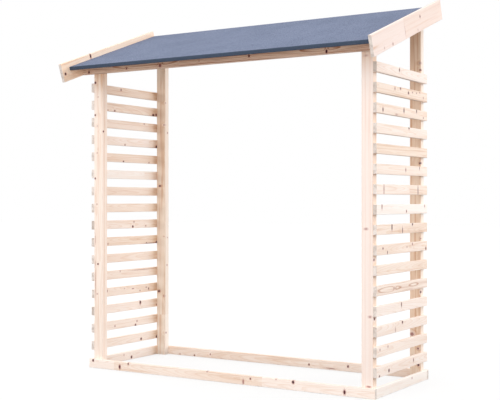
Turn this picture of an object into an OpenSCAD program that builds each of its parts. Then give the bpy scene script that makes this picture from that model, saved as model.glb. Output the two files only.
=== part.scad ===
// Open log store: four posts, two slatted sides and a felted lean-to roof.
// X runs across the front, Y from front to back and Z up from the ground.
// The origin is on the ground, in the middle of the floor area that the whole store covers.

/* [Base] */
// Width over the outer faces of the slatted sides
base_w = 1830; // [1200:10:2400]
// Depth of a slatted side, over the outer faces of its two posts
side_d = 643; // [400:1:900]

/* [Boards] */
// Thickness of the sills, slats and headers
board_t = 20; // [16:1:28]
// Height of a sill or slat standing on edge
board_h = 51; // [35:1:70]
// Chamfer planed along the long edges of boards and posts
arris = 2; // [0.5:0.5:4]

/* [Posts] */
// Width of a post across the front
post_w = 63; // [40:1:90]
// Depth of a post from front to back
post_d = 42; // [30:1:70]

/* [Sides] */
// Number of slats above the sill on each side
slat_count = 16; // [8:1:20]
// Open gap between one slat and the next
slat_gap = 49.5; // [20:0.5:80]
// Open height between the top slat and the underside of the front header
top_gap = 52; // [20:1:150]

/* [Roof] */
// Rise of the roof from front to back, in degrees
roof_slope = 19.7; // [10:0.1:25]
// Height of a header on its front face
header_h = 54; // [40:1:90]
// Thickness of the roof deck
deck_t = 18; // [12:1:28]
// Thickness of the roofing felt
felt_t = 3; // [1:0.5:6]
// Reach of the deck beyond each slatted side
deck_side = 51; // [20:1:150]
// Reach of the deck in front of the front header, along the slope
deck_front = 113; // [40:1:250]
// Reach of the deck behind the rear header, along the slope
deck_rear = 8; // [0:1:150]

/* [Barge boards] */
// Thickness of a barge board
barge_t = 18; // [14:1:28]
// Height of a barge board, square to the slope
barge_h = 106; // [80:1:160]
// Depth that a barge board hangs below the underside of the deck
barge_drop = 54; // [20:1:75]
// Reach of a barge board ahead of the felted front edge, along the slope
barge_nose = 65; // [0:1:120]

/* [Hidden] */
slat_pitch = board_h + slat_gap;
entry_h = slat_count * slat_pitch + board_h + top_gap;
eaves_h = entry_h + header_h;
rise = tan(roof_slope);

// Depths behind the front face of the front sill
post_front = board_t;
post_back = post_front + side_d;
frame_d = post_back + board_t;

// Sizes along the slope, from the front face of the front header
roof_w = base_w + 2 * deck_side;
deck_l = deck_front + frame_d / cos(roof_slope) + deck_rear;
roof_start = -deck_front - felt_t;
roof_l = deck_l + 2 * felt_t;
barge_start = roof_start - barge_nose;
barge_l = roof_l + barge_nose;

// The barge boards reach furthest to the front and back, so they place the frame over the origin
reach_front = barge_start * cos(roof_slope) - (barge_h - barge_drop) * sin(roof_slope);
reach_back = (barge_start + barge_l) * cos(roof_slope) + barge_drop * sin(roof_slope);
front_y = -(reach_front + reach_back) / 2;

SPRUCE = [0.96, 0.90, 0.84];
FELT = [0.50, 0.55, 0.65];

function slat_name(side, row) = str(side, "_slat_", row < 10 ? "0" : "", row);

// Height of the deck's underside at a depth behind the front face of the front sill
function deck_z(depth) = eaves_h + depth * rise;

// Section of planed timber with its four arrises taken off
module planed(width, height) {
    polygon([
        [arris, 0], [width - arris, 0], [width, arris], [width, height - arris],
        [width - arris, height], [arris, height], [0, height - arris], [0, arris]
    ]);
}

// Runs a section across the store: the section's x becomes depth and its y becomes height
module across(length) {
    rotate([90, 0, 90]) linear_extrude(length) children();
}

// Runs a section from front to back: the section's x stays x and its y becomes height
module front_to_back(length) {
    translate([0, length, 0]) rotate([90, 0, 0]) linear_extrude(length) children();
}

// Places what lies on the roof: y runs up the slope and z stands square to the deck's underside
module on_slope() {
    translate([0, front_y, eaves_h]) rotate([roof_slope, 0, 0]) children();
}

// A post stands on the ground inside the slats, and its top is sawn off along the deck's underside
module post(side, depth) {
    x = side < 0 ? board_t - base_w / 2 : base_w / 2 - board_t - post_w;
    uncut_h = deck_z(depth + post_d) + arris;
    color(SPRUCE) difference() {
        translate([x, front_y + depth, 0]) linear_extrude(uncut_h) planed(post_w, post_d);
        on_slope() translate([-roof_w / 2, -deck_front, 0]) cube([roof_w, deck_l, post_d]);
    }
}

module front_left_post() { post(-1, post_front); }
module front_right_post() { post(1, post_front); }
module rear_left_post() { post(-1, post_back - post_d); }
module rear_right_post() { post(1, post_back - post_d); }

// The front and rear sills run the full width, past the ends of the side sills
module cross_sill(depth) {
    color(SPRUCE) translate([-base_w / 2, front_y + depth, 0]) across(base_w) planed(board_t, board_h);
}

module front_sill() { cross_sill(0); }
module rear_sill() { cross_sill(post_back); }

// One board of a slatted side, against the outer faces of the posts: row 0 is the sill
module side_board(side, row) {
    x = side < 0 ? -base_w / 2 : base_w / 2 - board_t;
    color(SPRUCE) translate([x, front_y + post_front, row * slat_pitch])
        front_to_back(side_d) planed(board_t, board_h);
}

module left_sill() { side_board(-1, 0); }
module right_sill() { side_board(1, 0); }
module left_slat(row) { side_board(-1, row); }
module right_slat(row) { side_board(1, row); }

// A header ties two posts under the deck, with its top bevelled to the roof slope
module header(depth) {
    color(SPRUCE) translate([-roof_w / 2, front_y + depth, entry_h + depth * rise]) across(roof_w)
        polygon([
            [arris, 0], [board_t - arris, 0], [board_t, arris],
            [board_t, header_h + board_t * rise], [0, header_h], [0, arris]
        ]);
}

module front_header() { header(0); }
module rear_header() { header(post_back); }

module roof_deck() {
    color(SPRUCE) on_slope() translate([-roof_w / 2, -deck_front, 0]) cube([roof_w, deck_l, deck_t]);
}

// One sheet of felt laid over the deck and folded down its front and rear edges
module roof_felt() {
    color(FELT) on_slope() translate([-roof_w / 2, roof_start, 0]) across(roof_w) difference() {
        square([roof_l, deck_t + felt_t]);
        translate([felt_t, 0]) square([deck_l, deck_t]);
    }
}

// A barge board covers the end of the deck, the felt and the headers on one side
module barge_board(side) {
    x = side < 0 ? -roof_w / 2 - barge_t : roof_w / 2;
    color(SPRUCE) on_slope() translate([x, barge_start, -barge_drop])
        front_to_back(barge_l) planed(barge_t, barge_h);
}

module left_barge_board() { barge_board(-1); }
module right_barge_board() { barge_board(1); }

front_left_post();
front_right_post();
rear_left_post();
rear_right_post();
front_sill();
rear_sill();
left_sill();
right_sill();
for (row = [1 : slat_count]) {
    left_slat(row);
    right_slat(row);
}
front_header();
rear_header();
roof_deck();
roof_felt();
left_barge_board();
right_barge_board();
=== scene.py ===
"""Open log store in planed spruce with a felted lean-to roof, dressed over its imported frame."""
import math
import random

import bmesh
import bpy
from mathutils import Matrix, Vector


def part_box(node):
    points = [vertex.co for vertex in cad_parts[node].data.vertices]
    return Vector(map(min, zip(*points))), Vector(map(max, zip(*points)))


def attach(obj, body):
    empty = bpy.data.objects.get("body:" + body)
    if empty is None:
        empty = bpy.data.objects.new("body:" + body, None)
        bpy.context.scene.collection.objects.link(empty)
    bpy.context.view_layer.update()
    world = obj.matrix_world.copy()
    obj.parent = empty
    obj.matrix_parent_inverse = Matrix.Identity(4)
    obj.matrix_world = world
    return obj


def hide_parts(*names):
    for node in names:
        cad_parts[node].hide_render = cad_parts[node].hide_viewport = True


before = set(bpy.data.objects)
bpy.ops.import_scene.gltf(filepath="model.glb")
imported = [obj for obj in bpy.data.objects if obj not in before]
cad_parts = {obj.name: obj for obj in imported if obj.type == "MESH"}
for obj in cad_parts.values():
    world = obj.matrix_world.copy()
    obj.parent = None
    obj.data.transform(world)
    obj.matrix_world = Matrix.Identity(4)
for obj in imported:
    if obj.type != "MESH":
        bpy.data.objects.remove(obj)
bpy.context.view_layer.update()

# The photograph's frame and the camera that took it: level, with upright posts
PHOTO_W = 500
PHOTO_H = 400
SENSOR_W = 36.0
FOCAL_PX = 1020.2
HORIZON_PX = 200.24
CAMERA_AT = Vector((3.0495, -4.8130, 0.9759))
CAMERA_TURN = math.radians(32.11)
CAMERA_CLIP = 200

# Axes of the store: across the front, from front to back, and up
ACROSS = Vector((1, 0, 0))
BACK = Vector((0, 1, 0))
UP = Vector((0, 0, 1))

# Roof slope, read from the undersides of the two headers
header_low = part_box("front_header")[0]
rear_header_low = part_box("rear_header")[0]
RISE = (rear_header_low.z - header_low.z) / (rear_header_low.y - header_low.y)
SLOPE = math.atan(RISE)
UP_SLOPE = Vector((0, math.cos(SLOPE), math.sin(SLOPE)))
OFF_SLOPE = Vector((0, -math.sin(SLOPE), math.cos(SLOPE)))

# Slats above the sill on each side, by name from the lowest
SLAT_ROWS = 16
SLATS = {side: [f"{side}_slat_{row:02d}" for row in range(1, SLAT_ROWS + 1)] for side in ("left", "right")}

# Timber details, in metres
ARRIS_R = 0.0022
ARRIS_STEPS = 4
END_CHAMFER = 0.0008

# Knots: how many a face can hold, where its spare places lie, how deep a branch runs through a board and into a
# post, how much larger than measured a knot is drawn because its rim fades, and how hard a figure pulls the rings
KNOT_SLOTS = 4
SPARE_KNOT_AT = Vector((0, 50, 50))
SPARE_KNOT_SIZE = Vector((0.01, 0.01, 0.01))
THROUGH = 0.3
POST_KNOT = 0.014
KNOT_SPREAD = 1.3
FIGURE_PULL = 0.12
MM_PER_M = 1000

# Knots on boards that the photograph doesn't show: ranges for their places and sizes in metres, for how dark they
# are, and the shapes they may have
FIRST_KNOT = (0.05, 0.35)
KNOT_STEP = (0.12, 0.45)
KNOT_RADIUS = (0.003, 0.007)
KNOT_DARKNESS = (0.5, 1.0)
KNOT_TALLNESS = (1.0, 1.1, 1.3, 2.4)
KNOT_EDGE = 0.004
KNOT_END = 0.03

# How a board lies in its log: ranges for the pith's place, the tilt of the grain and the place along the log
PITH_ASIDE = (-0.02, 0.02)
PITH_DEPTH = (0.03, 0.075)
TILT_ACROSS = (-0.012, 0.012)
TILT_DEPTH = (-0.03, 0.03)
LOG_RUN = (0, 40)

# Year rings, unless a finish says otherwise: spacing in metres, strength, and when in the year they darken
RING_SPACING = 0.003
RING_STRENGTH = 0.5
RING_EDGE = 0.5

# Painted shade, drawn as warmer timber: how far down from the header it reaches on the front posts, shaded by the
# roof overhang, and how far from the rear post it reaches on the left slats, shaded by that post
POST_SHADE_DEPTH = 0.11
CORNER_SHADE_DEPTH = 0.09

# Floor: its own colour, and what the camera sees of it, a plain white that keeps a faint shadow round the store
FLOOR_COLOUR = (0.22, 0.21, 0.2, 1)
FLOOR_SHADOW = (0.2, 0.2, 0.2, 1)
FLOOR_WHITE = 0.75
FLOOR_FAR_WHITE = 0.83
FLOOR_NEAR = 1.5
FLOOR_FAR = 5.0
FLOOR_REACH = 30.0
FLOOR_DROP = 0.0006

# Light: the strength of the white sky, and round soft lamps by place, height that they aim at, width and power
SKY_LIGHT = 1.0
LAMPS = {
    "front lamp": ((0.6, -6.5, 1.8), 1.0, 4.0, 120),
    "high front lamp": ((0.6, -3.8, 6.6), 1.0, 4.0, 84),
    "corner lamp": ((4.8, -4.8, 0.9), 0.6, 3.0, 40),
    "right lamp": ((9.0, 6.3, 5.3), 1.0, 3.6, 365),
    "rear lamp": ((2.6, 6.8, 1.4), 1.0, 2.0, 90),
    "left lamp": ((-6.5, 0.0, 2.5), 1.0, 4.0, 180),
}

rng = random.Random(1830)

# Knots as the photograph shows them, on the faces that look to the front and to the right:
# where each is in the picture, its half sizes along and across the board in mm, and how dark it is.
# Below 0 it is no knot but a figure, where the year rings bend round in an oval
KNOTS_TO_FRONT = {
    "front_header": [(89, 72.5, 5, 7, 1.0), (126.5, 68.5, 4, 5, 0.7), (160, 65.5, 7, 9, 0.6),
                     (199, 61, 3, 4, 0.4), (249, 56, 4.5, 6, 1.0), (326.5, 51.5, 5, 8, 1.0),
                     (143, 67.5, 110, 9, -1.0), (318, 51.5, 70, 8, -1.0)],
    "front_left_post": [(95.3, 82.8, 6, 6, 1.0), (98, 97, 4, 4, 0.3), (95.2, 115.2, 4.5, 4.5, 0.95),
                        (97.3, 126, 4, 4, 0.3), (97.3, 153, 4, 4, 0.3), (95.2, 178.5, 4.5, 4.5, 0.85),
                        (97, 204.3, 4, 4, 0.35), (98, 264, 4.5, 4.5, 0.85), (97.2, 293.8, 4, 4, 0.4),
                        (95.5, 239.5, 24, 2, 0.38), (95.2, 263.5, 18, 2, 0.38), (95.5, 283, 70, 2, 0.38),
                        (92, 272, 80, 11, -1.0), (93, 328, 70, 10, -1.0)],
    "rear_left_post": [(164, 125, 5, 6, 0.45), (159.9, 186, 4.5, 8, 1.0), (164, 237, 4, 5, 0.35),
                       (159, 291.2, 6, 7, 1.0), (164, 296, 5, 5, 0.5)],
    "front_right_post": [(366, 55.5, 4, 9, 0.3), (366, 229, 5, 9, 0.4), (370, 317, 5, 8, 0.4),
                         (368.6, 386.8, 4, 11, 0.5)],
    "rear_right_post": [(420.3, 63, 6, 7, 0.4), (420.5, 70, 4, 5, 0.7), (420.1, 163.2, 5, 5, 1.0),
                        (412, 334, 9, 10, 0.5), (418, 348.5, 5, 5, 0.6), (418.4, 365, 5, 5, 1.0),
                        (420.4, 292, 5, 2.5, 0.8), (410.7, 338.8, 3, 2.5, 0.8), (410.6, 345.5, 3, 2.5, 0.8),
                        (420.4, 238.6, 4, 2.5, 0.5)],
    "front_sill": [(93.1, 360.1, 5, 7, 1.0), (119.7, 367, 6, 11, 0.75), (128.2, 363.7, 4, 6, 0.7),
                   (207, 371.5, 4, 4, 0.5), (243.2, 381.8, 5, 12, 0.5), (250.3, 378.8, 4, 5, 0.65),
                   (276, 379.4, 5, 3, 0.35), (293.1, 382.1, 5.5, 7.5, 1.0), (344.5, 392.2, 5.5, 10, 0.8)],
    "rear_sill": [(180, 354.1, 4, 4, 0.4), (194.4, 355.2, 4, 4, 0.75), (210.3, 354.3, 3.5, 5, 0.6),
                  (309, 364.6, 4, 5, 0.8), (330.5, 368.4, 28, 2, 0.5), (348, 366.5, 5, 6, 0.8)],
}
KNOTS_TO_RIGHT = {
    "left_barge_board": [(65.6, 74, 6, 6, 1.0), (90.5, 56, 5, 13, 1.0)],
    "right_barge_board": [(420, 16.5, 5, 6, 0.7), (405, 31, 4, 26, 0.35), (418, 30, 4, 5, 0.35),
                          (393, 44, 6, 6, 0.45), (384.5, 48, 4, 5, 0.35)],
    "front_left_post": [(103.5, 131.5, 4.5, 4.5, 0.8)],
    "rear_left_post": [(165.5, 103, 4, 5, 0.4), (167.5, 133, 5, 5, 0.45), (167.5, 237, 5, 5, 0.4),
                       (167, 265, 5, 5, 0.4), (166, 332.6, 5, 5, 0.5)],
    "front_right_post": [(374, 260, 5, 6, 0.8), (374.5, 319, 5, 6, 0.8)],
    "left_slat_16": [(121.1, 90, 5, 6, 0.55)],
    "left_slat_15": [(114.8, 110.9, 5, 5, 0.7), (108, 110, 4, 4, 0.4), (153.2, 115.2, 8, 7, 1.0),
                     (156.2, 115, 8, 7, 0.7)],
    "left_slat_14": [(144.2, 124, 5, 5, 0.45)],
    "left_slat_13": [(125, 145, 5, 5, 0.5), (156.6, 147, 9, 8, 1.0)],
    "left_slat_12": [(123.5, 161.6, 5, 4, 0.9), (149, 163, 5, 5, 0.5)],
    "left_slat_08": [(134, 221.8, 4, 5, 0.5), (132.8, 226.5, 6, 6, 0.85), (145.7, 225.8, 5, 4, 0.4),
                     (92.7, 226.6, 5, 6, 0.8)],
    "left_slat_07": [(108, 244, 5, 5, 0.4), (156.8, 242.2, 10, 7, 1.0), (146.4, 242.8, 4, 3, 0.7),
                     (151, 243, 60, 2, 0.6)],
    "left_slat_05": [(120.2, 271.2, 4, 5, 0.4), (141, 269.6, 80, 2, 0.4)],
    "left_slat_04": [(107.2, 291, 4, 7, 0.5), (124.5, 288.5, 5, 3, 0.35), (133, 288.6, 9, 3, 0.5),
                     (140, 290.4, 4, 4, 0.5), (148.6, 288.6, 4, 6, 0.75), (146.3, 287.2, 6, 3, 0.5)],
    "left_slat_03": [(140.3, 302.2, 6, 11, 0.85), (157, 304.5, 6, 5, 0.6)],
    "left_slat_02": [(135.5, 325, 6, 6, 0.8), (137, 321, 4, 5, 0.5), (115, 326, 4, 5, 0.5)],
    "left_slat_01": [(141.1, 338.8, 6, 6, 0.9), (157, 336.4, 9, 7, 1.0)],
    "left_sill": [(131.5, 357, 6, 7, 0.85), (124, 355, 4, 5, 0.35)],
    "right_slat_16": [(399.5, 70, 5, 7, 0.8)],
    "right_slat_15": [(400.5, 88.5, 6, 5, 0.7), (408.5, 93, 6, 6, 0.9), (395, 88.5, 5, 6, 0.5),
                      (412.5, 92.6, 6, 3, 0.5), (416.5, 93.2, 5, 3, 0.5), (419.7, 92.8, 5, 3, 0.5),
                      (423.3, 98, 4, 4, 0.5)],
    "right_slat_14": [(383, 109.5, 5, 9, 0.9), (404, 110.5, 5, 10, 1.0), (416.6, 111, 5, 9, 0.9),
                      (420.5, 109.7, 4, 4, 0.9), (423.3, 118, 4, 4, 0.6), (396.5, 114.5, 14, 4, 0.35)],
    "right_slat_13": [(409, 128, 6, 7, 0.8)],
    "right_slat_11": [(405.8, 170, 4, 9, 0.6), (419.5, 168, 3, 9, 0.7)],
    "right_slat_10": [(384, 189, 4, 24, 0.5), (418, 191, 4, 24, 0.65)],
    "right_slat_09": [(382, 206.5, 5, 13, 0.5), (406.5, 211.3, 5, 6, 0.6), (424.6, 206, 6, 7, 0.45)],
    "right_slat_08": [(392, 227, 5, 16, 0.8), (402.5, 230.5, 4, 14, 0.8), (412.5, 224, 6, 7, 0.9)],
    "right_slat_07": [(383, 248.5, 5, 5, 0.7), (387.5, 252.5, 3, 7, 0.8), (412.5, 244, 5, 6, 0.5),
                      (425.8, 248.5, 6, 7, 0.8), (407, 247, 4, 4, 0.5)],
    "right_slat_05": [(389, 289.5, 52, 7, -1.0), (413.5, 284.5, 30, 5, -1.0), (394.5, 288, 8, 5, 0.3)],
    "right_slat_04": [(401.5, 304.5, 4, 11, 0.75)],
    "right_slat_03": [(402.5, 322, 6, 7, 0.9), (395.5, 330, 4, 12, 0.4)],
    "right_slat_02": [(388, 346.5, 4, 6, 0.5), (380, 350, 4, 5, 0.5)],
    "right_slat_01": [(389, 370.5, 6, 7, 0.9), (379.5, 376.5, 5, 5, 0.8), (413.5, 360, 4, 8, 0.7)],
    "right_sill": [(412, 378, 4, 5, 0.5)],
}

# Pieces that show heartwood: where the pith of the log lies from the middle of the section, across and in depth,
# and how far the heartwood reaches from it, in metres. On the rear posts the pith lies far in front, so that the
# heartwood colour covers only their front faces as painted shade under the roof, and on the front right post far
# to the right, as painted shade on its outer face between the slats. The last value is that reach in all other
# pieces
HEARTWOOD_AND_SHADE = {
    "front_left_post": (-0.020, -0.300, 0.010),
    "front_right_post": (0.500, 0.0, 0.4765),
    "rear_left_post": (0.0, -0.500, 0.4885),
    "rear_right_post": (0.0, -0.500, 0.4885),
    "front_header": (0.012, -0.040, 0.060),
    "right_slat_05": (0.002, 0.060, 0.010),
    "right_slat_15": (0.015, 0.055, 0.010),
}
HEART_REACH = 0.022

# How warm a board's colour is in the photograph, from 0 for the palest to 1, partly its own tone and partly
# painted shade on boards that lie in shade, such as the left barge board under the roof edge: the slats of each
# side from the lowest, some other boards by name, and the tone of all the rest
SLAT_TONES = {
    "left": (0.3, 0.22, 0.1, 0.5, 0.35, 0.42, 0.85, 0.28, 0.6, 0.45, 0.0, 0.48, 0.0, 0.33, 0.6, 0.7),
    "right": (0.0, 0.2, 0.05, 0.0, 0.35, 0.55, 0.4, 0.6, 0.0, 0.2, 0.4, 0.9, 0.25, 0.55, 0.7, 0.0),
}
TONES = {
    "front_left_post": 0.32, "front_right_post": 0.15, "rear_left_post": 0.0,
    "front_sill": 0.1, "rear_sill": 0.45, "right_sill": 0.0,
    "left_barge_board": 0.7, "right_barge_board": 0.05,
}
for side, slats in SLATS.items():
    TONES.update(zip(slats, SLAT_TONES[side]))
COMMON_TONE = 0.2

# How grey the sawn ends are that show in the photograph, and the range for the others
END_TONES = {
    "front_sill": 0.0, "rear_sill": 0.0, "left_slat_08": 0.9, "left_slat_07": 0.5, "left_slat_03": 0.9,
    "right_slat_16": 1.0, "right_slat_15": 0.8, "right_slat_12": 0.6, "right_slat_09": 0.85, "right_slat_05": 0.0,
    "right_slat_03": 0.6, "right_slat_01": 0.4,
}
COMMON_END_TONES = (0.0, 0.25)

# Boards glued up from two or three lengths: where the photograph shows the change of grain, and how much warmer
# every second length is
JOINTS_TO_FRONT = {"front_sill": [(114, 366), (262, 379)]}
JOINTS_TO_RIGHT = {
    "left_slat_11": [(144.5, 179)], "right_slat_10": [(409.5, 190)],
    "right_barge_board": [(405, 31)], "rear_left_post": [(166, 314.5)],
}
JOINT_TONE = 0.4


# Small helpers for objects, colour and shader nodes

def placed(name, data):
    """A new object in the scene."""
    thing = bpy.data.objects.new(name, data)
    bpy.context.scene.collection.objects.link(thing)
    return thing


def tint(screen):
    """Screen values from 0 to 255, turned into the linear colour that shaders take."""
    shares = [value / 255 for value in screen]
    return [s / 12.92 if s <= 0.04045 else ((s + 0.055) / 1.055) ** 2.4 for s in shares] + [1]


WHITE = (1, 1, 1, 1)
KNOT_COLLAR = tint((186, 126, 112))
KNOT_RED = tint((158, 96, 92))
KNOT_CORE = tint((62, 16, 30))

# Places of the colour sockets on a Mix node
MIX_SHARE, MIX_UNDER, MIX_OVER = 0, 6, 7
MIX_RESULT = 2


def put(tree, kind, wires=None, **settings):
    """Adds a shader node, sets its options, and links or sets the inputs that are named or numbered."""
    node = tree.nodes.new("ShaderNode" + kind)
    for key, value in settings.items():
        setattr(node, key, value)
    for key, value in (wires or {}).items():
        if isinstance(value, bpy.types.NodeSocket):
            tree.links.new(value, node.inputs[key])
        else:
            node.inputs[key].default_value = value
    return node


def sum_of(tree, operation, first, second=0.0, third=0.0):
    """One Math node's result."""
    return put(tree, "Math", {0: first, 1: second, 2: third}, operation=operation).outputs[0]


def scaled(tree, value, factor, plus=None):
    """A value times a factor, with something added where it is given."""
    if plus is None:
        return sum_of(tree, "MULTIPLY", value, factor)
    return sum_of(tree, "MULTIPLY_ADD", value, factor, plus)


def ramp(tree, value, start, end, low=0.0, high=1.0):
    """Moves smoothly from low to high while the value goes from start to end."""
    wires = {"Value": value, "From Min": start, "From Max": end, "To Min": low, "To Max": high}
    return put(tree, "MapRange", wires, interpolation_type="SMOOTHSTEP").outputs["Result"]


def blend(tree, share, under, over, way="MIX"):
    """Lays one colour over another by a share from 0 to 1."""
    wires = {MIX_SHARE: share, MIX_UNDER: under, MIX_OVER: over}
    return put(tree, "Mix", wires, data_type="RGBA", blend_type=way).outputs[MIX_RESULT]


def stored(tree, name, output="Fac"):
    """A value that a board's faces or corners hold under a name."""
    return put(tree, "Attribute", attribute_name=name).outputs[output]


def noise(tree, place, scale, detail, roughness=0.5, ways="3D"):
    """A cloudy pattern through space, or over a single value if it goes one way."""
    wires = {"W" if ways == "1D" else "Vector": place, "Scale": scale, "Detail": detail, "Roughness": roughness}
    return put(tree, "TexNoise", wires, noise_dimensions=ways).outputs[0]


def stretched(tree, vector, along, crosswise):
    """Scales the grain's own coordinates, so that a pattern runs out along the fibres."""
    wires = {0: vector, 1: (along, crosswise, crosswise)}
    return put(tree, "VectorMath", wires, operation="MULTIPLY").outputs[0]


def effect(name, takes, gives):
    """A new node group with named inputs and outputs: its tree, its inputs and its output node."""
    tree = bpy.data.node_groups.new(name, "ShaderNodeTree")
    for socket, kind, default in takes:
        made = tree.interface.new_socket(socket, in_out="INPUT", socket_type="NodeSocket" + kind)
        if default is not None:
            made.default_value = default
    for socket in gives:
        kind = "Color" if socket == "Colour" else "Float"
        tree.interface.new_socket(socket, in_out="OUTPUT", socket_type="NodeSocket" + kind)
    source = tree.nodes.new("NodeGroupInput")
    result = tree.nodes.new("NodeGroupOutput")
    return tree, source.outputs, result


def give(tree, result, values):
    """Links a group's results to its outputs by name."""
    for name, value in values.items():
        tree.links.new(value, result.inputs[name])
    return tree


def use(tree, group, wires):
    """Places a node group in a material or in another group."""
    return put(tree, "Group", wires, node_tree=group).outputs


# Shared effects

def branch_knot_effect():
    """A branch cut through by the saw: its core, the dark collar round it and the swirl it gives the rings."""
    takes = [("Log", "Vector", None), ("At", "Vector", None), ("Size", "Vector", None), ("Dark", "Float", 1.0)]
    tree, source, result = effect("Branch knot", takes, ["Core", "Collar", "Swirl"])
    offset = put(tree, "VectorMath", {0: source["Log"], 1: source["At"]}, operation="SUBTRACT").outputs[0]
    ratio = put(tree, "VectorMath", {0: offset, 1: source["Size"]}, operation="DIVIDE").outputs[0]
    distance = put(tree, "VectorMath", {0: ratio}, operation="LENGTH").outputs["Value"]
    rag_scale, raggedness = 260.0, 0.7
    core_fade, collar_rise, collar_fade = (0.65, 1.0), (0.75, 1.0), (1.0, 1.7)
    swirl_fall, knot_pull, full_pull = -0.28, 0.9, 0.5
    ragged = noise(tree, source["Log"], rag_scale, 2.0)
    edge = scaled(tree, ragged, raggedness, sum_of(tree, "SUBTRACT", distance, raggedness / 2))
    shade = sum_of(tree, "MAXIMUM", source["Dark"], 0.0)
    core = scaled(tree, ramp(tree, edge, *core_fade, 1.0, 0.0), shade)
    collar = scaled(tree, ramp(tree, edge, *collar_rise), ramp(tree, edge, *collar_fade, 1.0, 0.0))
    collar = scaled(tree, collar, shade)
    reach = scaled(tree, distance, distance)
    fall = sum_of(tree, "EXPONENT", scaled(tree, reach, swirl_fall))
    width = put(tree, "SeparateXYZ", {0: source["Size"]}).outputs[0]
    turn = scaled(tree, sum_of(tree, "MINIMUM", source["Dark"], 0.0), FIGURE_PULL)
    turn = sum_of(tree, "ADD", turn, ramp(tree, source["Dark"], 0.0, full_pull, 0.0, knot_pull))
    swirl = scaled(tree, fall, scaled(tree, width, turn))
    return give(tree, result, {"Core": core, "Collar": collar, "Swirl": swirl})


def board_knots_effect(branch_knot):
    """All the knots of one stretch of a board, read from the places and sizes stored on its faces."""
    tree, source, result = effect("Board knots", [("Log", "Vector", None)], ["Core", "Collar", "Swirl"])
    joined = {"Core": "MAXIMUM", "Collar": "MAXIMUM", "Swirl": "ADD"}
    total = {}
    for slot in range(KNOT_SLOTS):
        place = stored(tree, f"knot_{slot}_at", "Vector")
        size = stored(tree, f"knot_{slot}_size", "Vector")
        dark = stored(tree, f"knot_{slot}_dark")
        knot = use(tree, branch_knot, {"Log": source["Log"], "At": place, "Size": size, "Dark": dark})
        for name, way in joined.items():
            total[name] = sum_of(tree, way, total[name], knot[name]) if name in total else knot[name]
    return give(tree, result, total)


def log_rings_effect():
    """Year rings of the log that a board was sawn from, bent round its knots."""
    takes = [("Log", "Vector", None), ("Swirl", "Float", 0.0), ("Ring Spacing", "Float", RING_SPACING),
             ("Ring Edge", "Float", RING_EDGE), ("Heart Reach", "Float", HEART_REACH)]
    tree, source, result = effect("Log rings", takes, ["Latewood", "Band", "Heart"])
    drift_scale, drift_reach = (1.6, 14.0), 0.012
    uneven_scale, unevenness, band_scale = 60.0, 2.2, 70.0
    late_full, late_end, heart_fade = 0.93, 0.94, (-0.001, 0.003)
    axes = put(tree, "SeparateXYZ", {0: source["Log"]}).outputs
    radius = sum_of(tree, "SQRT", scaled(tree, axes[1], axes[1], scaled(tree, axes[2], axes[2])))
    drift = noise(tree, stretched(tree, source["Log"], *drift_scale), 1.0, 2.0)
    bent = scaled(tree, drift, drift_reach, radius)
    bent = sum_of(tree, "ADD", source["Swirl"], bent)
    uneven = noise(tree, bent, uneven_scale, 1.0, ways="1D")
    phase = sum_of(tree, "DIVIDE", bent, source["Ring Spacing"])
    phase = scaled(tree, uneven, unevenness, phase)
    season = sum_of(tree, "FRACT", phase)
    darkening = ramp(tree, season, source["Ring Edge"], late_full)
    ending = ramp(tree, season, late_end, 1.0, 1.0, 0.0)
    late = scaled(tree, darkening, ending)
    band = noise(tree, bent, band_scale, 2.0, ways="1D")
    beyond = sum_of(tree, "SUBTRACT", bent, source["Heart Reach"])
    heart = ramp(tree, beyond, *heart_fade, 1.0, 0.0)
    return give(tree, result, {"Latewood": late, "Band": band, "Heart": heart})


def wood_fibre_effect():
    """Fine fibres and longer streaks that run with the grain."""
    tree, source, result = effect("Wood fibre", [("Log", "Vector", None)], ["Fibre", "Streak"])
    fine_scale, fine_roughness, long_scale = (14.0, 1100.0), 0.6, (2.2, 95.0)
    fine = noise(tree, stretched(tree, source["Log"], *fine_scale), 1.0, 2.0, fine_roughness)
    long = noise(tree, stretched(tree, source["Log"], *long_scale), 1.0, 3.0)
    return give(tree, result, {"Fibre": fine, "Streak": long})


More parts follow.
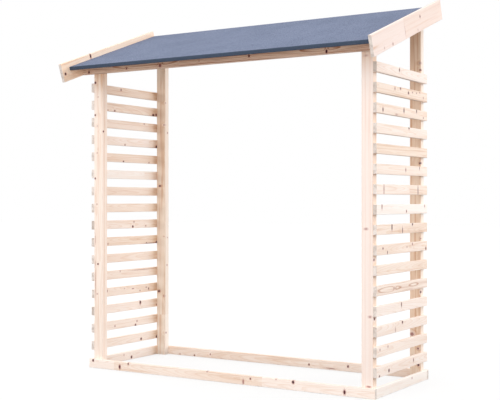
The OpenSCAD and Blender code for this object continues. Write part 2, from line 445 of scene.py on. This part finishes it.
def spruce_face_effect(board_knots, log_rings, wood_fibre):
    """The planed face of a spruce board: heartwood, year rings, streaks, fibres and knots over its own tone, with
    painted shade where it lies in shade and a painted highlight on its rounded edges.
    """
    takes = [("Sapwood", "Color", WHITE), ("Heartwood", "Color", WHITE), ("Grain", "Color", WHITE),
             ("Ring Spacing", "Float", RING_SPACING), ("Ring Strength", "Float", RING_STRENGTH),
             ("Ring Edge", "Float", RING_EDGE)]
    tree, source, result = effect("Spruce face", takes, ["Colour", "Roughness", "Height"])
    log = stored(tree, "log", "Vector")
    tone = stored(tree, "tone")
    arris = stored(tree, "arris")
    painted_shade = stored(tree, "painted_shade")
    knots = use(tree, board_knots, {"Log": log})
    rings = use(tree, log_rings, {"Log": log, "Swirl": knots["Swirl"], "Ring Spacing": source["Ring Spacing"],
                                  "Ring Edge": source["Ring Edge"], "Heart Reach": stored(tree, "heart_reach")})
    fibre = use(tree, wood_fibre, {"Log": log})

    tone_share, heart_share, painted_shade_share = 0.45, 0.6, 0.8
    # Warmth from the board's tone and heartwood, with painted shade added on the stretches that lie in shade
    warmth_and_shade = scaled(tree, tone, tone_share, scaled(tree, rings["Heart"], heart_share))
    warmth_and_shade = sum_of(tree, "MINIMUM", scaled(tree, painted_shade, painted_shade_share, warmth_and_shade), 1.0)
    colour = blend(tree, warmth_and_shade, source["Sapwood"], source["Heartwood"])
    band_range, band_share = (0.45, 0.66), (0.5, 0.16)
    streak_range, streak_share = (0.5, 0.7), (0.8, 0.2)
    fibre_range, fibre_share = (0.45, 0.8), 0.2
    shares = [scaled(tree, rings["Latewood"], source["Ring Strength"]),
              ramp(tree, rings["Band"], *band_range, 0.0, scaled(tree, warmth_and_shade, *band_share)),
              ramp(tree, fibre["Streak"], *streak_range, 0.0, scaled(tree, warmth_and_shade, *streak_share)),
              ramp(tree, fibre["Fibre"], *fibre_range, 0.0, fibre_share)]
    for share in shares:
        colour = blend(tree, share, colour, source["Grain"], "MULTIPLY")
    collar_share, red_range, core_range, arris_highlight_share = 0.6, (0.0, 0.7), (0.4, 0.9), 0.3
    colour = blend(tree, scaled(tree, knots["Collar"], collar_share), colour, KNOT_COLLAR)
    colour = blend(tree, ramp(tree, knots["Core"], *red_range), colour, KNOT_RED)
    colour = blend(tree, ramp(tree, knots["Core"], *core_range), colour, KNOT_CORE)
    # Rounded edges and eased ends drawn paler, towards the sapwood: a painted highlight where they catch the
    # light
    colour = blend(tree, scaled(tree, arris, arris_highlight_share), colour, source["Sapwood"])

    base_rough, fibre_rough, core_rough = 0.52, 0.18, -0.14
    rough = scaled(tree, fibre["Fibre"], fibre_rough, base_rough)
    rough = scaled(tree, knots["Core"], core_rough, rough)
    fibre_height, ring_height, collar_height = 0.5, 0.5, -0.6
    height = scaled(tree, fibre["Fibre"], fibre_height)
    height = scaled(tree, rings["Latewood"], ring_height, height)
    height = scaled(tree, knots["Collar"], collar_height, height)
    return give(tree, result, {"Colour": colour, "Roughness": rough, "Height": height})


def felt_granules_effect():
    """Mineral granules bedded in bitumen, drawn closer to the bitumen's colour by the last input, which is
    painted shade on the folded lips.
    """
    takes = [("Granule", "Color", WHITE), ("Bitumen", "Color", WHITE), ("Fold Shade", "Float", 0.0)]
    tree, source, result = effect("Felt granules", takes, ["Colour", "Roughness", "Height"])
    place = put(tree, "TexCoord").outputs["Object"]
    grit_scale, cloud_scale, speck_scale = 620.0, 5.0, 130.0
    grit = put(tree, "TexVoronoi", {"Vector": place, "Scale": grit_scale}).outputs
    cloud = noise(tree, place, cloud_scale, 4.0)
    speck = noise(tree, place, speck_scale, 3.0)
    grain_shade = put(tree, "SeparateXYZ", {0: grit["Color"]}).outputs[0]
    bitumen = source["Bitumen"]
    grain_share, speck_share, cloud_share = 0.5, 0.62, 0.25
    speck_range, cloud_range = (0.42, 0.66), (0.35, 0.7)
    colour = blend(tree, ramp(tree, grain_shade, 0.0, 1.0, 0.0, grain_share), source["Granule"], bitumen)
    colour = blend(tree, ramp(tree, speck, *speck_range, 0.0, speck_share), colour, bitumen)
    colour = blend(tree, ramp(tree, cloud, *cloud_range, 0.0, cloud_share), colour, bitumen)
    # Painted shade: the colour drawn towards the bitumen by the last input
    colour = blend(tree, source["Fold Shade"], colour, bitumen)
    base_rough, speck_rough, speck_height, grit_height = 0.7, 0.2, 0.6, -0.8
    rough = scaled(tree, speck, speck_rough, base_rough)
    height = scaled(tree, speck, speck_height)
    height = scaled(tree, grit["Distance"], grit_height, height)
    return give(tree, result, {"Colour": colour, "Roughness": rough, "Height": height})


BOARD_KNOTS = board_knots_effect(branch_knot_effect())
LOG_RINGS = log_rings_effect()
SPRUCE_FACE = spruce_face_effect(BOARD_KNOTS, LOG_RINGS, wood_fibre_effect())
FELT_GRANULES = felt_granules_effect()


# Finishes

# Gloss, and the strength and depth of the relief, in metres
WOOD_GLOSS = 0.2
FELT_GLOSS = 0.3
PLANED_RELIEF = (0.35, 0.0004)
SAWN_RELIEF = (0.5, 0.0006)
FELT_RELIEF = (0.5, 0.0012)


def new_finish(name):
    """A material with an empty tree and its surface shader in place."""
    finish = bpy.data.materials.new(name)
    finish.use_nodes = True
    tree = finish.node_tree
    tree.nodes.clear()
    surface = tree.nodes.new("ShaderNodeBsdfPrincipled")
    output = tree.nodes.new("ShaderNodeOutputMaterial")
    tree.links.new(surface.outputs[0], output.inputs["Surface"])
    return finish, tree, surface


def dress_surface(tree, surface, look, relief, gloss):
    """Links a look's colour, roughness and height to the surface of a material, and sets its gloss."""
    strength, depth = relief
    tree.links.new(look["Colour"], surface.inputs["Base Color"])
    tree.links.new(look["Roughness"], surface.inputs["Roughness"])
    bump = put(tree, "Bump", {"Strength": strength, "Distance": depth, "Height": look["Height"]}).outputs[0]
    tree.links.new(bump, surface.inputs["Normal"])
    surface.inputs["Specular IOR Level"].default_value = gloss


def planed_spruce(name, sapwood, heartwood, grain, ring_spacing, ring_strength, ring_edge=RING_EDGE):
    """Pale planed softwood, with its colours as screen values."""
    finish, tree, surface = new_finish(name)
    wires = {"Sapwood": tint(sapwood), "Heartwood": tint(heartwood), "Grain": tint(grain),
             "Ring Spacing": ring_spacing, "Ring Strength": ring_strength, "Ring Edge": ring_edge}
    look = use(tree, SPRUCE_FACE, wires)
    dress_surface(tree, surface, look, PLANED_RELIEF, WOOD_GLOSS)
    return finish


def sawn_end_grain(name, early, late, ring_spacing):
    """The sawn ends of the boards: greyer, with the rings in full contrast and fine saw marks."""
    finish, tree, surface = new_finish(name)
    early, late = tint(early), tint(late)
    log = stored(tree, "log", "Vector")
    rings = use(tree, LOG_RINGS, {"Log": log, "Swirl": 0.0, "Ring Spacing": ring_spacing})
    fuzz_scale, stain_scale, saw_scale, saw_wander = 900.0, 45.0, 190.0, 1.5
    fuzz = noise(tree, log, fuzz_scale, 3.0)
    stain = noise(tree, log, stain_scale, 2.0)
    saw = {"Vector": log, "Scale": saw_scale, "Distortion": saw_wander, "Detail": 1.0}
    marks = put(tree, "TexWave", saw, bands_direction="DIAGONAL").outputs["Fac"]
    tone = stored(tree, "tone")
    ring_share, stain_share, tone_share, fuzz_share = 0.45, 0.5, 0.6, 0.35
    stain_range, fuzz_range = (0.4, 0.65), (0.35, 0.75)
    colour = blend(tree, scaled(tree, rings["Latewood"], ring_share), early, late)
    colour = blend(tree, ramp(tree, stain, *stain_range, 0.0, stain_share), colour, late)
    colour = blend(tree, scaled(tree, tone, tone_share), colour, late)
    colour = blend(tree, ramp(tree, fuzz, *fuzz_range, 0.0, fuzz_share), colour, late, "MULTIPLY")
    base_rough, fuzz_rough, saw_height = 0.68, 0.2, 0.4
    rough = scaled(tree, fuzz, fuzz_rough, base_rough)
    height = scaled(tree, marks, saw_height, fuzz)
    look = {"Colour": colour, "Roughness": rough, "Height": height}
    dress_surface(tree, surface, look, SAWN_RELIEF, WOOD_GLOSS)
    return finish


def mineral_felt(name, granule, bitumen, fold_shade):
    """Bitumen roofing felt with blue-grey mineral granules."""
    finish, tree, surface = new_finish(name)
    look = use(tree, FELT_GRANULES, {"Granule": tint(granule), "Bitumen": tint(bitumen), "Fold Shade": fold_shade})
    dress_surface(tree, surface, look, FELT_RELIEF, FELT_GLOSS)
    return finish


SLAT_SPRUCE = planed_spruce("planed spruce", (255, 242, 234), (236, 206, 175), (224, 192, 160), 0.0024, 0.22)
CLEAR_SPRUCE = planed_spruce("clear spruce", (249, 232, 225), (238, 208, 186), (238, 218, 202), 0.0030, 0.12)
POST_SPRUCE = planed_spruce("smooth spruce", (247, 233, 226), (238, 212, 189), (242, 222, 208), 0.0036, 0.15)
WHITE_SPRUCE = planed_spruce("white spruce", (255, 247, 241), (240, 214, 192), (240, 220, 206), 0.0030, 0.15)
PALE_SPRUCE = planed_spruce("pale spruce", (255, 246, 238), (231, 213, 195), (228, 202, 178), 0.0036, 0.3)
TAN_SPRUCE = planed_spruce("tan spruce", (255, 246, 238), (238, 210, 183), (226, 196, 168), 0.0036, 0.3)
# A warmer copy for the left barge board, whose extra warmth is painted shade under the roof edge
WARM_SPRUCE = planed_spruce("warm spruce", (255, 238, 221), (248, 213, 183), (236, 204, 178), 0.0030, 0.2)
HEADER_SPRUCE = planed_spruce("rosy spruce", (252, 237, 224), (236, 208, 186), (190, 142, 114), 0.0050, 0.85, 0.6)
FIGURED_SPRUCE = planed_spruce("figured spruce", (255, 242, 233), (236, 206, 178),
                               (196, 146, 106), 0.0060, 0.7, 0.8)
DECK_SPRUCE = planed_spruce("deck spruce", (252, 240, 230), (230, 198, 170), (228, 198, 168), 0.0034, 0.6)
END_GRAIN = sawn_end_grain("sawn end grain", (248, 239, 233), (188, 172, 160), 0.0028)
SIDE_FINISHES = {
    "left_slat_11": WHITE_SPRUCE, "right_sill": WHITE_SPRUCE, "right_slat_09": WHITE_SPRUCE,
    "right_slat_05": FIGURED_SPRUCE, "left_barge_board": WARM_SPRUCE, "right_barge_board": CLEAR_SPRUCE,
}
# The felt of the top, and a darker copy of it for the folded lips, ends and underside, which is painted shade
FELT_TOP = mineral_felt("mineral felt", (129, 139, 165), (78, 90, 115), 0.0)
SHADED_FELT_FOLD = mineral_felt("shaded folded felt", (88, 99, 120), (55, 68, 86), 0.6)


# Timber

class Stick:
    """One length of timber: how it was sawn from its log, and its tone."""

    def __init__(self, start, end, middle, tone, end_tone, heartwood=None):
        self.start = start
        self.end = end
        self.middle = middle
        self.tone = tone
        self.end_tone = end_tone
        side = rng.choice((-1, 1))
        self.pith = (rng.uniform(*PITH_ASIDE), side * rng.uniform(*PITH_DEPTH))
        self.tilt = (rng.uniform(*TILT_ACROSS), rng.uniform(*TILT_DEPTH))
        self.heart_reach = HEART_REACH
        if heartwood:
            self.pith = heartwood[:2]
            self.tilt = (0.0, 0.0)
            self.heart_reach = heartwood[2]
        self.offset = rng.uniform(*LOG_RUN)

    def log(self, along, across, depth):
        """Place in the log: along its length, and the two ways out from the pith."""
        run = along - (self.start + self.end) / 2
        return Vector((along + self.offset,
                       across - self.middle[0] - self.pith[0] + run * self.tilt[0],
                       depth - self.middle[1] - self.pith[1] + run * self.tilt[1]))


class Knot:
    """A knot by its place on a board and its half sizes, in metres, and by how dark it is."""

    def __init__(self, at, size, dark):
        self.at = tuple(at)
        self.size = Vector(size)
        self.dark = dark


def seen_at(picture_x, picture_y, to_front, box):
    """The place on a board's front or right face that the camera sees at a point of the photograph."""
    ahead = Vector((-math.sin(CAMERA_TURN), math.cos(CAMERA_TURN), 0))
    aside = Vector((math.cos(CAMERA_TURN), math.sin(CAMERA_TURN), 0))
    ray = ahead + aside * ((picture_x - PHOTO_W / 2) / FOCAL_PX) + UP * ((HORIZON_PX - picture_y) / FOCAL_PX)
    reach = (box[0].y - CAMERA_AT.y) / ray.y if to_front else (box[1].x - CAMERA_AT.x) / ray.x
    return CAMERA_AT + ray * reach


def seen_knots(node, axes):
    """The knots of a board that the photograph shows."""
    knots = []
    for to_front, seen in ((True, KNOTS_TO_FRONT), (False, KNOTS_TO_RIGHT)):
        facing = BACK if to_front else ACROSS
        for picture_x, picture_y, along, across, dark in seen.get(node, ()):
            place = seen_at(picture_x, picture_y, to_front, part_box(node))
            at = [place.dot(axis) for axis in axes]
            size = [reach * KNOT_SPREAD / MM_PER_M for reach in (along, across, across)]
            inward = 1 if abs(axes[1].dot(facing)) > 0.5 else 2
            size[inward] = POST_KNOT if axes[0] == UP else THROUGH
            knots.append(Knot(at, size, dark))
    return knots


def seen_joints(node, axes):
    """Where along a board the photograph shows two lengths glued together."""
    for to_front, seen in ((True, JOINTS_TO_FRONT), (False, JOINTS_TO_RIGHT)):
        if node in seen:
            return sorted(seen_at(*joint, to_front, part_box(node)).dot(axes[0]) for joint in seen[node])
    return []


def extents(node, axes):
    """Lowest and highest reach of a node along three axes."""
    points = [vertex.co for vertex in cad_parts[node].data.vertices]
    reach = [[point.dot(axis) for point in points] for axis in axes]
    return [min(values) for values in reach], [max(values) for values in reach]


def eased_outline(corners, radii):
    """An outline with each corner rounded: points with a mark for how far round the arris they are."""
    outline = []
    for index, corner in enumerate(corners):
        here = Vector(corner)
        before = (Vector(corners[index - 1]) - here).normalized()
        after = (Vector(corners[(index + 1) % len(corners)]) - here).normalized()
        radius = radii[index]
        if radius <= 0:
            outline.append((here, 0.0))
            continue
        half = before.angle(after) / 2
        middle = here + (before + after).normalized() * (radius / math.sin(half))
        start = here + before * (radius / math.tan(half)) - middle
        finish = here + after * (radius / math.tan(half)) - middle
        sweep = start.angle_signed(finish)
        for step in range(ARRIS_STEPS + 1):
            share = step / ARRIS_STEPS
            turn = -sweep * share
            point = Vector((start.x * math.cos(turn) - start.y * math.sin(turn),
                            start.x * math.sin(turn) + start.y * math.cos(turn)))
            outline.append((middle + point, math.sin(math.pi * share)))
    return outline


def stretches(stick, knots, shade_start):
    """Splits a stick into stretches with no more knots than a face can hold, and finds where its painted shade
    begins.
    """
    own = sorted((k for k in knots if stick.start <= k.at[0] < stick.end), key=lambda k: k.at[0])
    groups = [own[i:i + KNOT_SLOTS] for i in range(0, len(own), KNOT_SLOTS)] or [[]]
    start = stick.start
    for index, group in enumerate(groups):
        last = index == len(groups) - 1
        end = stick.end if last else (group[-1].at[0] + groups[index + 1][0].at[0]) / 2
        if shade_start is not None and start < shade_start < end:
            yield start, shade_start, group
            start = shade_start
        yield start, end, group
        start = end


def timber_mesh(mesh, axes, outline, sticks, knots, high_cut=None, shade_start=None):
    """Adds one length of timber to a bmesh: rings of its outline along its length, with closed ends."""
    log_layer = mesh.loops.layers.float_vector["log"]
    arris_layer = mesh.loops.layers.float["arris"]
    painted_shade_layer = mesh.loops.layers.float["painted_shade"]
    tone_layer = mesh.faces.layers.float["tone"]
    heart_layer = mesh.faces.layers.float["heart_reach"]
    at_layers = [mesh.faces.layers.float_vector[f"knot_{slot}_at"] for slot in range(KNOT_SLOTS)]
    dark_layers = [mesh.faces.layers.float[f"knot_{slot}_dark"] for slot in range(KNOT_SLOTS)]
    size_layers = [mesh.faces.layers.float_vector[f"knot_{slot}_size"] for slot in range(KNOT_SLOTS)]
    middle = sum((point for point, _ in outline), Vector((0, 0))) / len(outline)
    spans = [(start, end, group, stick) for stick in sticks
             for start, end, group in stretches(stick, knots, shade_start)]
    first, last = spans[0][0], spans[-1][1]

    def ring(along, inset=0.0, cut=None):
        """One outline's corners at a place along the timber, drawn in for an eased end or set back by a cut."""
        made = []
        for point, arris in outline:
            pulled = point - (point - middle).normalized() * inset
            place = along + (cut(*pulled) if cut else 0.0)
            vertex = mesh.verts.new(axes[0] * place + axes[1] * pulled.x + axes[2] * pulled.y)
            made.append((vertex, place, pulled, max(arris, 1.0 if inset else 0.0)))
        return made

    rings = [ring(first, END_CHAMFER), ring(first + END_CHAMFER)]
    rings += [ring(end) for _, end, _, _ in spans[:-1]]
    rings += [ring(last - END_CHAMFER, 0.0, high_cut), ring(last, END_CHAMFER, high_cut)]
    owners = [spans[0]] + spans + [spans[-1]]

    def painted_shade_at(place):
        """How far a place is into the stretch with painted shade, from 0 to 1."""
        return 0.0 if shade_start is None else max(0.0, (place - shade_start) / (last - shade_start))

    def dress(face, corners, owner, end_grain):
        """Gives a face its finish, and stores on it what the finish reads."""
        _, _, group, stick = owner
        face.smooth = not end_grain
        face.material_index = 1 if end_grain else 0
        face[tone_layer] = stick.end_tone if end_grain else stick.tone
        face[heart_layer] = stick.heart_reach
        for slot in range(KNOT_SLOTS):
            known = slot < len(group)
            face[at_layers[slot]] = stick.log(*group[slot].at) if known else SPARE_KNOT_AT
            face[size_layers[slot]] = group[slot].size if known else SPARE_KNOT_SIZE
            face[dark_layers[slot]] = group[slot].dark if known else 0.0
        for loop, (_, place, point, arris) in zip(face.loops, corners):
            loop[log_layer] = stick.log(place, point.x, point.y)
            loop[arris_layer] = arris
            loop[painted_shade_layer] = painted_shade_at(place)

    count = len(outline)
    for index, owner in enumerate(owners):
        near, far = rings[index], rings[index + 1]
        for step in range(count):
            after = (step + 1) % count
            corners = [near[step], near[after], far[after], far[step]]
            dress(mesh.faces.new([corner[0] for corner in corners]), corners, owner, False)
    for corners, owner in ((rings[0][::-1], spans[0]), (rings[-1], spans[-1])):
        dress(mesh.faces.new([corner[0] for corner in corners]), corners, owner, True)


def timber_layers(mesh):
    """The values that the wood finishes read from a board's faces and corners."""
    mesh.loops.layers.float_vector.new("log")
    mesh.loops.layers.float.new("arris")
    mesh.loops.layers.float.new("painted_shade")
    mesh.faces.layers.float.new("tone")
    mesh.faces.layers.float.new("heart_reach")
    for slot in range(KNOT_SLOTS):
        mesh.faces.layers.float_vector.new(f"knot_{slot}_at")
        mesh.faces.layers.float_vector.new(f"knot_{slot}_size")
        mesh.faces.layers.float.new(f"knot_{slot}_dark")


def finish_piece(name, mesh, finishes, node):
    """Turns a bmesh into a piece that stands for a CAD node and rides on the store."""
    bmesh.ops.recalc_face_normals(mesh, faces=mesh.faces)
    data = bpy.data.meshes.new(name)
    mesh.to_mesh(data)
    mesh.free()
    for finish in finishes:
        data.materials.append(finish)
    piece = placed(name, data)
    evener = piece.modifiers.new("even shading", "WEIGHTED_NORMAL")
    evener.keep_sharp = True
    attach(piece, "root")
    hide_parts(node)
    return piece


def grown_knots(low, high):
    """Knots of a board that the photograph doesn't show: a few, spread along it."""
    knots = []
    along = low[0] + rng.uniform(*FIRST_KNOT)
    while along < high[0] - KNOT_END:
        radius = rng.uniform(*KNOT_RADIUS)
        across = rng.uniform(low[1] + KNOT_EDGE, high[1] - KNOT_EDGE)
        tall = radius * rng.choice(KNOT_TALLNESS)
        at = (along, across, (low[2] + high[2]) / 2)
        knots.append(Knot(at, (radius, tall, THROUGH), rng.uniform(*KNOT_DARKNESS)))
        along += rng.uniform(*KNOT_STEP)
    return knots


def timber(node, axes, finish, corners=None, radii=None, high_cut=None, shade_start=None):
    """One named board or post, rebuilt with eased arrises, sawn ends and its own grain."""
    low, high = extents(node, axes)
    if corners is None:
        corners = [(low[1], low[2]), (high[1], low[2]), (high[1], high[2]), (low[1], high[2])]
        radii = [ARRIS_R] * len(corners)
    mesh = bmesh.new()
    timber_layers(mesh)
    stops = [low[0], *seen_joints(node, axes), high[0]]
    middle = ((low[1] + high[1]) / 2, (low[2] + high[2]) / 2)
    tone = TONES.get(node, COMMON_TONE)
    end_tone = END_TONES.get(node, rng.uniform(*COMMON_END_TONES))
    sticks = [Stick(start, end, middle, tone + JOINT_TONE * (index % 2), end_tone, HEARTWOOD_AND_SHADE.get(node))
              for index, (start, end) in enumerate(zip(stops, stops[1:]))]
    knots = seen_knots(node, axes) or (grown_knots(low, high) if node == "rear_header" else [])
    timber_mesh(mesh, axes, eased_outline(corners, radii), sticks, knots, high_cut, shade_start)
    return finish_piece(node + "_timber", mesh, [finish, END_GRAIN], node)


def post_top_cut(node):
    """Posts are sawn off along the deck: how far below its highest edge each part of the top lies."""
    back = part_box(node)[1].y
    return lambda across, depth: (depth - back) * RISE


POST_AXES = (UP, ACROSS, BACK)
CROSS_AXES = (ACROSS, UP, BACK)
SIDE_AXES = (BACK, UP, ACROSS)
BARGE_AXES = (UP_SLOPE, OFF_SLOPE, ACROSS)

# Front posts, with painted shade on their tops below the header and roof overhang
for post, finish in (("front_left_post", SLAT_SPRUCE), ("front_right_post", POST_SPRUCE)):
    timber(post, POST_AXES, finish, high_cut=post_top_cut(post), shade_start=header_low.z - POST_SHADE_DEPTH)
# Rear posts, whose front faces take the heartwood colour as painted shade under the roof
for post, finish in (("rear_left_post", PALE_SPRUCE), ("rear_right_post", TAN_SPRUCE)):
    timber(post, POST_AXES, finish, high_cut=post_top_cut(post))
for sill in ("front_sill", "rear_sill"):
    timber(sill, CROSS_AXES, SLAT_SPRUCE)
for side, slats in SLATS.items():
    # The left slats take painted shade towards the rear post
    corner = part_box("rear_left_post")[0].y - CORNER_SHADE_DEPTH if side == "left" else None
    for board in [side + "_sill", *slats]:
        timber(board, SIDE_AXES, SIDE_FINISHES.get(board, SLAT_SPRUCE), shade_start=corner)
    barge_board = side + "_barge_board"
    timber(barge_board, BARGE_AXES, SIDE_FINISHES.get(barge_board, SLAT_SPRUCE))
for header in ("front_header", "rear_header"):
    low, high = extents(header, CROSS_AXES)
    bevel = (high[2] - low[2]) * RISE
    section = [(low[1], low[2]), (high[1] - bevel, low[2]), (high[1], high[2]), (low[1], high[2])]
    timber(header, CROSS_AXES, HEADER_SPRUCE, section, [ARRIS_R, 0, 0, ARRIS_R])


# Roof

DECK_AXES = (UP_SLOPE, ACROSS, OFF_SLOPE)
DECK_BOARDS = 20
DECK_GROOVE = 0.003
DECK_INSET = 0.0003
FELT_T = 0.003
FELT_FOLD_R = 0.005
FELT_STATIONS = 64
FELT_RUNS = 40
FELT_WAVE = 0.0006
FELT_WAVES = 6
WAVES_ACROSS = (4, 11)
WAVES_ALONG = (5, 14)
WAVE_SHIFT = (0, 6)
FOLD_STEPS = 6
LIP_STEPS = 4


def roof_deck():
    """The deck: tongued boards that run up the slope, with a small groove under each joint."""
    low, high = extents("roof_deck", DECK_AXES)
    pitch = (high[1] - low[1]) / DECK_BOARDS
    mesh = bmesh.new()
    timber_layers(mesh)
    for index in range(DECK_BOARDS):
        left = low[1] + index * pitch + DECK_INSET / 2
        right = low[1] + (index + 1) * pitch - DECK_INSET / 2
        section = [(left, low[2]), (right, low[2]), (right, high[2] - DECK_INSET), (left, high[2] - DECK_INSET)]
        outline = eased_outline(section, [DECK_GROOVE, DECK_GROOVE, 0, 0])
        middle = ((left + right) / 2, (low[2] + high[2]) / 2)
        stick = Stick(low[0] + DECK_INSET, high[0] - DECK_INSET, middle, rng.random(), rng.random())
        board_low, board_high = (low[0], left, low[2]), (high[0], right, high[2])
        timber_mesh(mesh, DECK_AXES, outline, [stick], grown_knots(board_low, board_high))
    finish_piece("roof_deck_boards", mesh, [DECK_SPRUCE, END_GRAIN], "roof_deck")


def felt_profile(low, high):
    """The folded sheet's outer and inner lines, up the front lip, over the deck and down the rear lip."""
    front, back, foot, top = low[0], high[0], low[2], high[2]
    fold = FELT_FOLD_R
    outer, inner, lips = [], [], []

    def point(along, off, inward, lip):
        """One point of the outer line, with its fellow a sheet's thickness further in."""
        outer.append((along, off))
        inner.append((along + inward[0] * FELT_T, off + inward[1] * FELT_T))
        lips.append(lip)

    def bend(centre_along, start_turn, end_turn):
        """The fold over one edge of the deck."""
        for step in range(1, FOLD_STEPS):
            turn = start_turn + (end_turn - start_turn) * step / FOLD_STEPS
            way = (math.cos(turn), math.sin(turn))
            point(centre_along + fold * way[0], top - fold + fold * way[1], (-way[0], -way[1]), True)

    for step in range(LIP_STEPS + 1):
        point(front, foot + (top - fold - foot) * step / LIP_STEPS, (1, 0), True)
    bend(front + fold, math.pi, math.pi / 2)
    for step in range(FELT_RUNS + 1):
        point(front + fold + (back - front - 2 * fold) * step / FELT_RUNS, top, (0, -1), False)
    bend(back - fold, math.pi / 2, 0)
    for step in range(LIP_STEPS + 1):
        point(back, top - fold - (top - fold - foot) * step / LIP_STEPS, (-1, 0), True)
    return outer, inner, lips


def roof_felt():
    """One sheet of felt with a little waviness, folded down over the front and rear edges of the deck."""
    low, high = extents("roof_felt", DECK_AXES)
    outer, inner, lips = felt_profile(low, high)
    mesh = bmesh.new()
    waves = [(rng.uniform(*WAVES_ACROSS), rng.uniform(*WAVES_ALONG), rng.uniform(*WAVE_SHIFT))
             for _ in range(FELT_WAVES)]
    sheets = []
    for station in range(FELT_STATIONS + 1):
        across = low[1] + (high[1] - low[1]) * station / FELT_STATIONS
        rows = []
        for (along, off), (along_in, off_in), lip in zip(outer, inner, lips):
            sway = sum(math.sin(a * across + b * along + c) for a, b, c in waves) / len(waves)
            sway = 0.0 if lip else (sway - 1.0) / 2 * FELT_WAVE
            rows.append([mesh.verts.new(UP_SLOPE * y + ACROSS * across + OFF_SLOPE * (z + sway))
                         for y, z in ((along, off), (along_in, off_in))])
        sheets.append(rows)
    last = len(outer) - 1
    # The folded lips, the underside and the edges take the darker felt, as painted shade
    for near, far in zip(sheets, sheets[1:]):
        for step in range(last):
            for side, fold in ((0, lips[step] and lips[step + 1]), (1, True)):
                corners = [near[step], near[step + 1], far[step + 1], far[step]]
                face = mesh.faces.new([corner[side] for corner in corners])
                face.material_index = 1 if fold else 0
        for step in (0, last):
            mesh.faces.new([near[step][0], near[step][1], far[step][1], far[step][0]]).material_index = 1
    for rows in (sheets[0], sheets[-1]):
        for step in range(last):
            face = mesh.faces.new([rows[step][0], rows[step + 1][0], rows[step + 1][1], rows[step][1]])
            face.material_index = 1
    for face in mesh.faces:
        face.smooth = True
    finish_piece("roof_felt_sheet", mesh, [FELT_TOP, SHADED_FELT_FOLD], "roof_felt")


roof_deck()
roof_felt()


# Stage, light and camera

def stage_floor():
    """A plain floor just under the store: pale grey to the light, and white with a faint shadow to the camera."""
    data = bpy.data.meshes.new("floor")
    sides = ((-1, -1), (1, -1), (1, 1), (-1, 1))
    data.from_pydata([(x * FLOOR_REACH, y * FLOOR_REACH, -FLOOR_DROP) for x, y in sides], [], [(0, 1, 2, 3)])
    floor = placed("floor", data)
    finish, tree, surface = new_finish("pale floor")
    rays = put(tree, "LightPath").outputs
    seen = sum_of(tree, "MAXIMUM", rays["Is Camera Ray"], rays["Is Glossy Ray"])
    seen = sum_of(tree, "MAXIMUM", seen, rays["Is Transmission Ray"])
    shade = blend(tree, seen, FLOOR_COLOUR, FLOOR_SHADOW)
    tree.links.new(shade, surface.inputs["Base Color"])
    surface.inputs["Roughness"].default_value = 1.0
    surface.inputs["Specular IOR Level"].default_value = 0.0
    surface.inputs["Emission Color"].default_value = WHITE
    place = put(tree, "TexCoord").outputs["Object"]
    distance = put(tree, "VectorMath", {0: place}, operation="LENGTH").outputs["Value"]
    white = ramp(tree, distance, FLOOR_NEAR, FLOOR_FAR, FLOOR_WHITE, FLOOR_FAR_WHITE)
    tree.links.new(scaled(tree, seen, white), surface.inputs["Emission Strength"])
    data.materials.append(finish)


def soft_lamp(name, place, aim_height, width, power):
    """A round soft lamp that looks at the middle of the store."""
    lamp = bpy.data.lights.new(name, "AREA")
    lamp.shape = "DISK"
    lamp.size = width
    lamp.energy = power
    holder = placed(name, lamp)
    holder.location = place
    aim = Vector((0, 0, aim_height)) - Vector(place)
    holder.rotation_euler = aim.to_track_quat("-Z", "Y").to_euler()


def studio():
    """An even white sky and the lamps."""
    scene = bpy.context.scene
    scene.view_settings.view_transform = "Standard"
    world = bpy.data.worlds.new("studio")
    scene.world = world
    world.use_nodes = True
    tree = world.node_tree
    tree.nodes.clear()
    sky = put(tree, "Background", {"Color": WHITE, "Strength": SKY_LIGHT})
    output = tree.nodes.new("ShaderNodeOutputWorld")
    tree.links.new(sky.outputs[0], output.inputs["Surface"])
    for name, (place, aim_height, width, power) in LAMPS.items():
        soft_lamp(name, place, aim_height, width, power)


def photo_camera():
    """The camera as it stood for the photograph: level, with the picture shifted to its horizon."""
    camera = bpy.data.cameras.new("photo view")
    camera.sensor_fit = "HORIZONTAL"
    camera.sensor_width = SENSOR_W
    camera.lens = FOCAL_PX / PHOTO_W * SENSOR_W
    camera.shift_y = (HORIZON_PX - PHOTO_H / 2) / PHOTO_W
    camera.clip_end = CAMERA_CLIP
    holder = placed("photo view", camera)
    holder.location = CAMERA_AT
    holder.rotation_euler = (math.pi / 2, 0, CAMERA_TURN)
    bpy.context.scene.camera = holder


stage_floor()
studio()
photo_camera()
